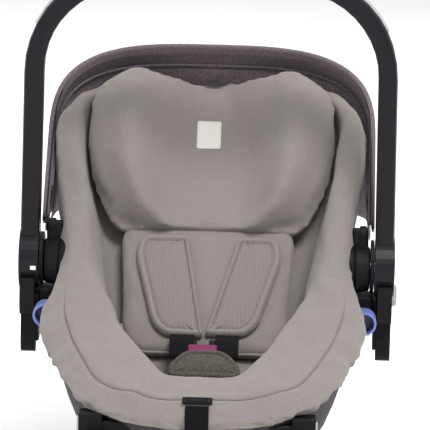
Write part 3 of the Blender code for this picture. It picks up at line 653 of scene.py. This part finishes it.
def cover_relief(flat, r, st):
    """How far each point of the cover stands off its smooth shape, from its ring and station."""
    foot = 1 - smoothstep(4.6, 6.4, st)
    # seam: a groove with a soft roll on both sides, flat again towards the head
    seamed = 1 - 0.93 * smoothstep(4.2, 5.8, st)
    rolls = bump_at(r, SEAM_RING - 0.13, 0.09) + bump_at(r, SEAM_RING + 0.14, 0.09)
    push = seamed * (-2.6 * bump_at(r, SEAM_RING, 0.022) + 1.5 * rolls)
    # elastic hem: close gathers that fade inwards, deepest round the foot end
    push += (2.2 + 4.6 * foot) * wobble(flat, 21.0, 3.1) * smoothstep(4.75, HEM_RING, r)
    push += (0.8 + 1.4 * foot) * wobble(flat, 8.5, 9.7, 1) * smoothstep(5.4, HEM_RING, r)
    # slack over the bolsters, folds off the seam and tension lines in the well
    push += 3.0 * wobble(flat, 62.0, 5.5) * smoothstep(1.2, 3.0, r)
    push += 2.3 * wobble(flat, 30.0, 8.8) * smoothstep(2.6, 3.6, r) * (1 - smoothstep(4.9, 5.9, r))
    folds = wobble(np.stack([st * 34.0, r * 9.0, np.sign(flat[:, 0]) * 40], axis=1), 21.0, 6.1, 1)
    push += 1.9 * foot * folds * smoothstep(3.5, 4.3, r) * (1 - smoothstep(5.2, 6.0, r))
    tension = wobble(flat * np.array([1, 0.45, 0.45]), 15.0, 2.2)
    push += 1.3 * tension * smoothstep(0.6, 1.6, r) * (1 - smoothstep(4.2, 5.2, r))
    # a seam along the well, where the base panel meets the walls; the well lies on firm foam
    push += -1.6 * bump_at(r, 1.1, 0.05) * smoothstep(0, 1, st)
    return np.where(r < 3.3, np.maximum(push, -0.5), push)


def make_cover():
    """The padded cover, lofted through its rings, with its seam, slack and gathered hem."""
    rings = np.array([SPINE, FLOOR, WALL, RIM, SEAM, WIDEST, HEM], float)
    stations = np.concatenate([rings[:, 1:2] * FLIP, rings, rings[:, -2:-1] * FLIP], axis=1)
    at = np.linspace(0, LAST_STATION, LAST_STATION * STATION_STEPS + 1)
    half = curve_at(stations.transpose(1, 0, 2), at).transpose(1, 0, 2)
    # the spine is one line: its ends stay at a point
    half[0, at <= 2] = half[0, 0]
    half[0, at >= LAST_STATION - 1] = half[0, -1]
    rows = cover_rows()
    half = curve_at(ghosted(half), rows)
    half[:, (0, -1), 0] = 0
    half[..., 0] = np.maximum(half[..., 0], 0)
    grid = np.concatenate([(half * FLIP)[:, ::-1][:, :-1], half[:, :-1]], axis=1)
    station = np.concatenate([at[::-1][:-1], at[:-1]])
    ring = np.broadcast_to(rows[:, None], grid.shape[:2])
    station = np.broadcast_to(station[None, :], grid.shape[:2])
    normal = grid_normals(grid, cyclic=True)
    normal[0] = normal[2]
    push = cover_relief(grid.reshape(-1, 3), ring.ravel(), station.ravel())
    grid = grid + normal * push.reshape(grid.shape[:2])[..., None]
    # the hem rolls under around its elastic
    last, out = grid[-1], normal[-1]
    inward = unit(grid[-2] - grid[-1])
    turns = np.linspace(0.4, math.pi, 6)
    curl = [last - inward * 1.6 * math.sin(a) - out * 2.2 * (1 - math.cos(a)) for a in turns]
    curl += [curl[-1] + inward * d for d in (4, 9)]
    grid = np.concatenate([grid, np.array(curl)])
    ob = lofted("seat_cover_cloth", grid, "taupe_jersey", 2e-5)
    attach(ob, "seat")
    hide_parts("seat_cover")


# ---------------------------------------------------------------- headrest
# Headrest stations along the back: (s, half width, x of the wing's crest, its height n, height of
# the middle, height of the back face)
HEAD_STATIONS = [
    (166, 106, 52, 9, 1, -14), (176, 119, 64, 20, 2, -17), (192, 131, 78, 33, 2, -17),
    (218, 141, 88, 45, 2, -17), (270, 149, 98, 51, 2, -16), (325, 149, 100, 49, 3, -8),
    (350, 144, 99, 46, 3, -3), (370, 129, 95, 43, 3, -3), (386, 108, 90, 41, 2, -3),
]
HEAD_TOP = HEAD_STATIONS[-1][0]
HEAD_OVERHANG = 325  # from here up the wings reach over the rim of the bucket
RIDGE = 5.0  # how far the firm edge inside each wing stands above the padding round it


def head_outline(s, wide, crest, high, middle, low):
    """Half of a section (x, n), from the middle of the front round the wing to the middle of the back."""
    rise = high - middle
    vee = 0.3 * smoothstep(HEAD_OVERHANG - 60, HEAD_TOP, s) - 0.1 * (1 - smoothstep(190, 290, s))
    bow = 0.4 if vee > 0 else 2.0
    fall = 1 - smoothstep(200, 300, s)
    half = [
        (0, middle),
        (0.25 * crest, middle + 0.6 + 0.22 * max(vee, 0) * rise),
        (0.5 * crest, middle + (0.14 + vee) * rise),
        (0.77 * crest, middle + (0.6 + bow * vee) * rise),
        (crest, high + RIDGE * (1 - smoothstep(340, HEAD_TOP, s))),
        (crest + 0.5 * (wide - crest), high - 3 - 17 * fall),
    ]
    if s < HEAD_OVERHANG:
        deep = min(1.0, (wide - 100) / 40)
        half += [(wide, high - (0.32 + 0.5 * fall) * rise), (min(wide - 5, 137), 8 * deep - 4 * (1 - deep))]
        half += [(min(wide - 9, 118), low + 8), (min(wide - 22, 100), low), (50, low), (0, low)]
    elif s == HEAD_OVERHANG:
        half += [(wide, high - 13), (wide - 8, high - 20), (124, 18), (106, -2), (52, low), (0, low)]
    else:
        half += [(wide, high - 10), (wide - 10, high - 16), (0.76 * wide, high - 23), (0.62 * wide, 13)]
        half += [(0.3 * wide, low + 1), (0, low)]
    return half


def make_headrest():
    """The headrest's pillow, lofted through its sections and puffed."""
    rows = np.array([[back(x, st[0], n) for x, n in head_outline(*st)] for st in HEAD_STATIONS])
    whole = np.concatenate([rows, rows[:, -2:0:-1] * FLIP], axis=1)
    loop = np.concatenate([whole[:, -1:], whole, whole[:, :2]], axis=1).transpose(1, 0, 2)
    dense = curve_at(loop, np.arange(0, whole.shape[1], 0.25)).transpose(1, 0, 2)
    dense = curve_at(ghosted(dense), np.linspace(0, len(rows) - 1, 41))
    middle = dense.mean(axis=1, keepdims=True)
    ends = [np.repeat(middle[end][None], dense.shape[1], axis=1) for end in (0, -1)]
    dense = np.concatenate([ends[0], dense, ends[1]])
    ob = lofted("headrest_pillow", dense, "taupe_jersey", 2e-5)
    puffed(ob, pressure=3.0, cap=6.0)
    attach(ob, "headrest")
    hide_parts("headrest_cushion")
    return ob


# ---------------------------------------------------------------- flat pads
def pad_of(name, outline, profile, low, mats, field_from, spine, count=168, narrow=None):
    """A pad on the back from an outline (x, s), and its rows. profile is (inset, height n) from the
    edge to the field, spine the two (x, s) ends of the line that the field closes on, low the
    underside's n. The second material starts at row field_from. The border is narrow along the edge
    whose inward direction is the one given."""
    ring = resampled(outline, count, closed=True)
    along = np.roll(ring, -1, axis=0) - np.roll(ring, 1, axis=0)
    inward = unit(np.stack([-along[:, 1], along[:, 0]], axis=1))
    if (inward * (ring.mean(axis=0) - ring)).sum() < 0:
        inward = -inward
    a, b = (np.array(p, float) for p in spine)
    k = np.clip(((ring - a) @ (b - a)) / ((b - a) @ (b - a)), 0, 1)[:, None]
    line = a + (b - a) * k
    share = np.ones((count, 1))
    if narrow is not None:
        facing = smoothstep(0.78, 0.96, inward @ np.array(narrow) / math.hypot(*narrow))
        share -= 0.45 * facing[:, None]
    rows = [ring + inward * inset * share for inset, _ in profile]
    heights = [n for _, n in profile]
    last, top, steps, crown = rows[-1], heights[-1], 7, 0.8
    for j in range(1, steps + 1):
        rows.append(last + (line - last) * j / steps)
        heights.append(top + crown * math.sin(math.pi / 2 * j / steps))
    grid = np.array([[(x, s, n) for x, s in row] for row, n in zip(rows, heights)])
    under = (line, ring + inward * 6, ring + inward * 1.5)
    under = np.array([[(x, s, low) for x, s in row] for row in under])
    grid = np.concatenate([under, grid])
    points = np.array([back(*p) for p in grid.reshape(-1, 3)]).reshape(grid.shape)
    verts, faces = grid_faces(placed(points), cyclic=True)
    first = (len(under) + field_from) * count
    face_mats = [int(f[0] >= first and len(mats) > 1) for f in faces]
    uvs = grid.reshape(-1, 3)[:, :2]
    return object_of(name, verts, faces, mats, weld=1e-5, face_mats=face_mats, uvs=uvs), rows


# Outline (distance from the middle, s) of each shoulder pad, from the inner corner at the neck
PAD_OUTLINES = {
    "left": [(23.5, 158), (78, 158), (84, 130), (61, 34), (46, 18), (0.5, 17)],
    "right": [(36, 157), (82, 157), (88, 128), (62, 34), (47, 19), (0.5, 19)],
}
PAD_CORNERS = (6, 14, 14, 14, 14, 5)
# A padded border, then a stitched groove at row PAD_GROOVE, then the mesh
PAD_PROFILE = [
    (0, 3.0), (0.3, 5.5), (1.2, 8.2), (2.8, 10.4), (4.6, 11.2), (6.4, 10.6), (7.6, 9.2), (8.3, 7.9),
    (9.2, 7.7), (10.0, 8.6), (11.5, 9.4),
]
PAD_GROOVE = 7


def make_pads():
    """The two shoulder pads, which taper and turn in towards the buckle."""
    mats = ["taupe_jersey", "taupe_mesh"]
    for side, name in SIDES:
        outline = rounded([(side * x, s) for x, s in PAD_OUTLINES[name]], PAD_CORNERS)
        spine = [(side * 56.5, 130), (side * 31, 40)]
        pad, rows = pad_of(f"shoulder_pad_{name}_cloth", outline, PAD_PROFILE, 0.8, mats, PAD_GROOVE, spine,
                           narrow=(side, 0.2))
        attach(pad, "seat")
        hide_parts(f"shoulder_pad_{name}")
        groove = rows[PAD_GROOVE]
        line = np.array([back(x, s, 8.2) for x, s in np.concatenate([groove, groove[:1]])])
        seam = stitching(f"shoulder_pad_{name}_stitching", line, "thread")
        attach(seam, "seat")


def make_label(pillow):
    """A plain woven label, sewn on round its edge, following the headrest."""
    tree = BVHTree.FromObject(pillow, bpy.context.evaluated_depsgraph_get())
    half_wide, half_tall, at_x, at_s, corner = 14.5, 20.0, -4.0, 303.5, 1.5
    rows = []
    for v in np.linspace(-1, 1, 21):
        row = []
        for u in np.linspace(-1, 1, 17):
            cut = max(0.0, abs(v) - 1 + corner / half_tall) * half_tall if abs(u) > 0.93 else 0.0
            above = back(at_x + u * (half_wide - cut), at_s + v * half_tall, 30)
            row.append(dropped(tree, above, -BACK_OFF, 0.9))
        rows.append(row)
    grid = np.array(rows)
    label = slab("headrest_label_cloth", placed(grid), 0.8 * MM, "woven_label", flip=True)
    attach(label, "headrest")
    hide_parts("headrest_label")
    loop = np.concatenate([grid[1, 1:-1], grid[2:-1, -2], grid[-2, 1:-1][::-1], grid[1:-1, 1][::-1]])
    loop = loop + BACK_OFF * 0.15
    seam = stitching("headrest_label_stitching", loop, "woven_label", 1.8, 1.0, 0.3)
    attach(seam, "headrest")


# The inlay: its outline (x, s), and its top as (share of the outline, height n) and its underside
INSERT_OUTLINE = [(-104, 186), (104, 186), (97, 34), (80, 2), (-80, 2), (-97, 34)]
INSERT_CORNERS = (34, 34, 30, 40, 40, 30)
INSERT_TOP = [
    (1.0, -13), (1.0, -9.5), (0.995, -6.5), (0.985, -4.0), (0.965, -2.6), (0.93, -2.0), (0.85, -2.0),
    (0.7, -2.4), (0.5, -2.8), (0.25, -3.0), (0.0, -3.0),
]
INSERT_UNDER = [(share, -22.5) for share in (0.0, 0.5, 0.9, 0.985)]
PIPED_BELOW = 40  # the piping shows along the lower edge, up to this s


def make_insert():
    """The inlay's pillow and the piping round its lower edge."""
    ring = resampled(rounded(INSERT_OUTLINE, INSERT_CORNERS), 220, closed=True)
    centre = np.array([0, 84.0])
    rows = []
    for share, n in INSERT_UNDER + INSERT_TOP:
        rows.append([back(x, s, n) for x, s in centre + (ring - centre) * share])
    ob = lofted("insert_pillow", np.array(rows), "taupe_jersey", 1e-5)
    puffed(ob, pressure=2.0, cap=3.0)
    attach(ob, "seat")
    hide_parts("insert_cushion")
    first = int(np.argmax(ring[:, 1] + (ring[:, 0] > 0)))
    open_edge = [p for p in np.roll(ring, -first, axis=0) if p[1] < PIPED_BELOW]
    path = np.array([back(x * 1.004, s, -5.5) for x, s in open_edge])
    piping = tube("insert_piping", path, 1.9, "taupe_jersey")
    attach(piping, "seat")


# ---------------------------------------------------------------- straps
STRAP_STEP = 3.0


def strap(name, path, width, thick, body, replaces):
    """Webbing with soft edges along points in hub millimetres, its width across the seat."""
    path = np.asarray(path, float)
    length = np.linalg.norm(np.diff(path, axis=0), axis=1).sum()
    count = max(4, int(length / STRAP_STEP))
    path = resampled(curve_at(ghosted(path), np.linspace(0, len(path) - 1, count * 3)), count)
    t = unit(np.gradient(path, axis=0))
    across = np.broadcast_to((1.0, 0.0, 0.0), path.shape)
    across = unit(across - t * (across * t).sum(axis=1, keepdims=True))
    off = np.cross(t, across)
    h, w = thick / 2, width / 2
    top = [(-w + 0.35, h * 0.8), (-w + 1.2, h), (-w / 2, h * 0.94), (0, h * 0.9), (w / 2, h * 0.94),
           (w - 1.2, h), (w - 0.35, h * 0.8)]
    under = [(w - 0.35, -h * 0.8), (w - 1.2, -h), (0, -h * 0.9), (-w + 1.2, -h), (-w + 0.35, -h * 0.8)]
    section = [(-w, 0), *top, (w, 0), *under]
    grid = np.array([[p + a * u + o * v for u, v in section] for p, a, o in zip(path, across, off)])
    uvs = [((u + w) / width, i * STRAP_STEP / width) for i in range(len(path)) for u, _ in section]
    ob = lofted(name, grid, "black_webbing", capped=True, uvs=uvs)
    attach(ob, body)
    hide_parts(replaces)


# Each strap's route: along the back (s, n), or for the adjuster's, down the foot end (y, z)
STRAP_LOWER = [(17.5, 9), (9, 16.5), (2, 23.4), (-6, 26.4), (-15, 27.8), (-25, 27.8)]
STRAP_UPPER = [(152, 3), (155.5, 0), (157.5, -4), (159, -9)]
CROTCH_STRAP = [(-42, 14), (-48, 13), (-54, 12)]
ADJUSTER_STRAP = [(-297, -99), (-300.5, -104.5), (-304.6, -113), (-306, -124), (-307.2, -142),
                  (-307.4, -170), (-307, -212)]
STRAP_X = {"left": (-24.5, -53), "right": (27.5, 53)}  # lower and upper, as they lie in the photo


def make_straps():
    """The harness straps where they show, and the adjuster's strap."""
    for name, (lower_x, upper_x) in STRAP_X.items():
        # folded over the tongue and down beside the button, where the pad's sleeve lets it slide
        path = [back(lower_x, s, n) for s, n in STRAP_LOWER]
        strap(f"shoulder_strap_{name}_web", path, 27, 1.6, f"tongue_{name[0]}", f"shoulder_strap_{name}")
        path = [back(upper_x, s, n) for s, n in STRAP_UPPER]
        strap(f"strap_upper_{name}_web", path, 27, 1.6, "seat", f"strap_upper_{name}")
    path = [back(0, s, n) for s, n in CROTCH_STRAP]
    strap("crotch_strap_web", path, 26, 1.8, "seat", "crotch_strap")
    path = [(0, y, z) for y, z in ADJUSTER_STRAP]
    strap("adjuster_strap_web", path, 26, 1.8, "seat", "adjuster_strap")


CROTCH_OUTLINE = [(-38, -57), (-38, -40), (-20, -18.5), (26, -18.5), (44, -40), (44, -57)]
CROTCH_CORNERS = (9, 16, 18, 18, 16, 9)
CROTCH_PROFILE = [
    (0, 32.0), (0.4, 34.2), (1.4, 36.4), (3.0, 37.6), (4.8, 37.9), (6.2, 37.0), (7.0, 36.0), (8.0, 36.4),
    (9.5, 37.4),
]


def make_crotch_pad():
    """The rounded pad over the buckle, in one material all over."""
    outline = rounded(CROTCH_OUTLINE, CROTCH_CORNERS)
    pad, _ = pad_of("crotch_pad_cloth", outline, CROTCH_PROFILE, 30.2, ["olive_pad"], 0,
                    [(-17, -42), (23, -42)], 140)
    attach(pad, "seat")
    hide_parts("crotch_pad")


# ---------------------------------------------------------------- plastic trim
def block(name, low, high, body, mat, soften):
    """A moulded block with rounded edges between two corners in hub millimetres."""
    low, high = np.minimum(low, high).astype(float), np.maximum(low, high).astype(float)
    verts = [np.where([k & 1, k & 2, k & 4], high, low) for k in range(8)]
    faces = [(0, 1, 3, 2), (4, 5, 7, 6), (0, 1, 5, 4), (2, 3, 7, 6), (0, 2, 6, 4), (1, 3, 7, 5)]
    ob = object_of(name, placed(verts), faces, [mat], smooth=False)
    bevel = ob.modifiers.new("soft", "BEVEL")
    bevel.width, bevel.segments = soften * MM, 3
    applied(ob)
    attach(ob, body)


def boot(name, side):
    """A turned black cover between the shell and a hub."""
    x_in, x_out, r_in, r_out, low = 148, 173.5, 31, 28.5, -3
    angles = np.arange(36) * 2 * math.pi / 36
    profile = [(x_in, 0.0), (x_in, r_in), (x_out - 5, r_out), (x_out - 2, r_out - 0.6)]
    profile += [(x_out, r_out - 3), (x_out, 0.0)]
    grid = [[(side * x, r * math.cos(a), low + r * math.sin(a)) for a in angles] for x, r in profile]
    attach(lofted(name, grid, "black_plastic", 1e-6), "seat")


def make_fairings():
    """Black covers at the hubs, black blocks round the front of the base, and on each rail's outer edge a
    grey strip painted as its highlight.
    """
    for side, name in SIDES:
        boot(f"hub_boot_{name}", side)
        for piece, low, high, mat, soften in (
            ("canopy_bracket", (169, -3, 20), (188, 12, 44), "black_plastic", 3),
            ("rail_head", (104, -288, -182), (130.5, -262, -113), "black_plastic", 2),
            # a thin grey strip down each rail's outer edge: painted highlight where the edge catches the
            # light
            ("rail_edge_highlight", (130, -287.4, -180), (132, -284, -116), "grey_trim", 0.4),
        ):
            mirror = np.array([side, 1, 1])
            block(f"{piece}_{name}", low * mirror, high * mirror, "seat", mat, soften)
    # a black block across the front, showing as a dark band under the hem
    block("front_black_block", (-105, -287, -166), (105, -272, -121), "seat", "black_plastic", 3)
    block("hub_mark_left", (-204.5, -35.5, -7.6), (-198, -33, -3.0), "handle", "silver_mark", 0.2)


def make_guide_webs():
    """The inner wall that closes each lap belt guide behind its lip, in dark navy as painted shade inside
    the guide.
    """
    lip_x, lip_z, lip_r, front, rear = 185.0, -54.0, 11.2, -52.0, -48.0
    turn = np.radians(np.linspace(-58, 92, 16))
    outline = [(lip_x + lip_r * math.cos(a), lip_z + lip_r * math.sin(a)) for a in turn]
    outline += [(178, -43), (178, -66)]
    n = len(outline)
    faces = [tuple(range(n)), tuple(range(n, 2 * n))[::-1]]
    faces += [(i, (i + 1) % n, n + (i + 1) % n, n + i) for i in range(n)]
    for side, name in SIDES:
        verts = [(side * x, y, z) for y in (front, rear) for x, z in outline]
        web = object_of(f"lap_belt_guide_{name}_web", placed(verts), faces, ["belt_navy"], smooth=False)
        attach(web, "seat")


# ---------------------------------------------------------------- canopy
def arch(a, b, foot, steps=26):
    """Points (x, r) of a canopy arch from the left foot over the top to the right foot."""
    half = [(a, foot + (BOW_SHOULDER - foot) * i / 6) for i in range(6)]
    power = 2 / BOW_POWER
    for t in (math.pi / 2 * i / steps for i in range(steps)):
        half.append((a * math.cos(t) ** power, BOW_SHOULDER + b * math.sin(t) ** power))
    path = [(-x, r) for x, r in half] + [(0, BOW_SHOULDER + b)] + half[::-1]
    return resampled(path, 96)


def canopy_grid(angles, insets, foot):
    """A grid over the canopy's arch: one row for each angle in degrees, pushed inwards by its inset."""
    rows = []
    for angle, inset in zip(angles, insets):
        c, k = math.cos(math.radians(angle)), math.sin(math.radians(angle))
        path = arch(BOW_HALF - inset, BOW_RISE - inset, foot)
        rows.append([PIVOT + np.array([x * SIDE_BULGE, r * c, r * k]) for x, r in path])
    return np.array(rows)


def joined(ob, a, b, low, high):
    """Bakes a canopy piece's placement into its mesh."""
    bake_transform(ob)


def canopy_cloth(name, high, low, inset, sag, bodies, replaces=None, foot=CANOPY_FOOT, mat="mauve_melange"):
    """One stretched panel between two angles, which sags a little and wrinkles between the bows."""
    rows = 25
    share = np.linspace(0, 1, rows)
    insets = [inset + sag * math.sin(math.pi * t) for t in share]
    grid = canopy_grid(np.linspace(high, low, rows), insets, foot)
    flat = grid.reshape(-1, 3)
    free = np.sin(math.pi * share)[:, None]
    push = wobble(flat, 38.0, 4.4) + 0.5 * wobble(flat, 13.0, 1.4)
    push = CLOTH_WRINKLE * push.reshape(grid.shape[:2]) * free
    grid = placed(grid + grid_normals(grid) * push[..., None])
    ob = slab(name, grid, CLOTH_THICK, mat)
    if len(bodies) == 2:
        joined(ob, *bodies, low, high)
    else:
        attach(ob, bodies[0])
    if replaces:
        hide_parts(replaces)


def make_canopy():
    """Three outer panels, two linings inside them, the rolled front hem and the piping."""
    front, mid, rear = (BOW_ANGLE - BOW_SPLIT * i for i in range(3))
    tail = rear - BOW_SPLIT
    ahead, behind = ("canopy_middle", "canopy_front"), ("seat", "canopy_middle")
    canopy_cloth("canopy_cloth_front", front + 0.7, mid, 0.6, 3.0, ahead, "canopy_panel_front")
    canopy_cloth("canopy_cloth_middle", mid, rear, 0.0, 4.0, behind, "canopy_panel_middle")
    canopy_cloth("canopy_cloth_rear", rear, tail, 0.6, 2.5, ("seat",), "canopy_panel_rear")
    # the linings take the lightened melange, painted light for the shade under the canopy
    lining = {"foot": LINING_FOOT, "mat": "lining_melange"}
    canopy_cloth("canopy_lining_front", front - 7.6, mid, 6.2, 2.0, ahead, **lining)
    canopy_cloth("canopy_lining_rear", mid, tail, 6.6, 2.0, behind, **lining)
    # front edge: a rolled hem round the bow, then a plain facing, as (degrees ahead of the bow, inset)
    hem = [(0.7, 0.6), (1.3, 1.4), (1.5, 3.0), (1.3, 5.0), (0.5, 6.2), (-0.9, 6.6), (-1.3, 7.8), (-1.7, 6.6),
           (-4.6, 6.8), (-7.4, 6.6)]
    grid = canopy_grid([front + lead for lead, _ in hem], [inset for _, inset in hem], CANOPY_FOOT)
    edge = slab("canopy_front_hem", placed(grid), 0.8 * MM, "mauve_melange")
    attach(edge, "canopy_front")
    for name, angle, inset, body in (
        ("canopy_piping_front", front - 5.6, 8.2, "canopy_front"),
        ("canopy_piping_middle", mid, 7.4, "canopy_middle"),
    ):
        line = canopy_grid([angle], [inset], LINING_FOOT)[0]
        piping = tube(name, line, 1.7, "mauve_melange")
        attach(piping, body)


# ---------------------------------------------------------------- finishes of the CAD nodes
def both(*names):
    return [f"{name}_{side}" for name in names for _, side in SIDES]


# Every node that isn't here is black plastic
FINISHES = {
    "shell_plastic": ["seat_shell"],
    "foam": ["foam_liner"],
    "satin_black": ["carry_handle", "canopy_bow_front", "canopy_bow_middle"],
    "grey_trim": ["handle_grip", "release_knob"],
    "belt_blue": [*both("lap_belt_guide"), "shoulder_belt_guide_rear"],
    "button_magenta": ["buckle_button"],
    "bow_steel": both("handle_pivot_pin"),
    "foot_rubber": both("foot_front", "foot_rear"),
    "taupe_jersey": ["seat_cover", "headrest_cushion", "insert_cushion"],
    "taupe_mesh": both("shoulder_pad"),
    "mauve_melange": ["canopy_panel_front", "canopy_panel_middle", "canopy_panel_rear"],
    "olive_pad": ["crotch_pad"],
    "black_webbing": [*both("shoulder_strap", "strap_upper"), "crotch_strap", "adjuster_strap",
                      "adjuster_pull"],
}


def finish_cad_nodes():
    """Gives each node of the frame the material of its real finish."""
    finish = {node: mat for mat, nodes in FINISHES.items() for node in nodes}
    for name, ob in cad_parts.items():
        mat = M[finish.get(name, "black_plastic")]
        for slot in ob.material_slots:
            slot.material = mat
        if not ob.material_slots:
            ob.data.materials.append(mat)


aim_camera()
make_stage()
finish_cad_nodes()
make_cover()
make_label(make_headrest())
make_insert()
make_guide_webs()
make_fairings()
make_pads()
make_straps()
make_crotch_pad()
make_canopy()
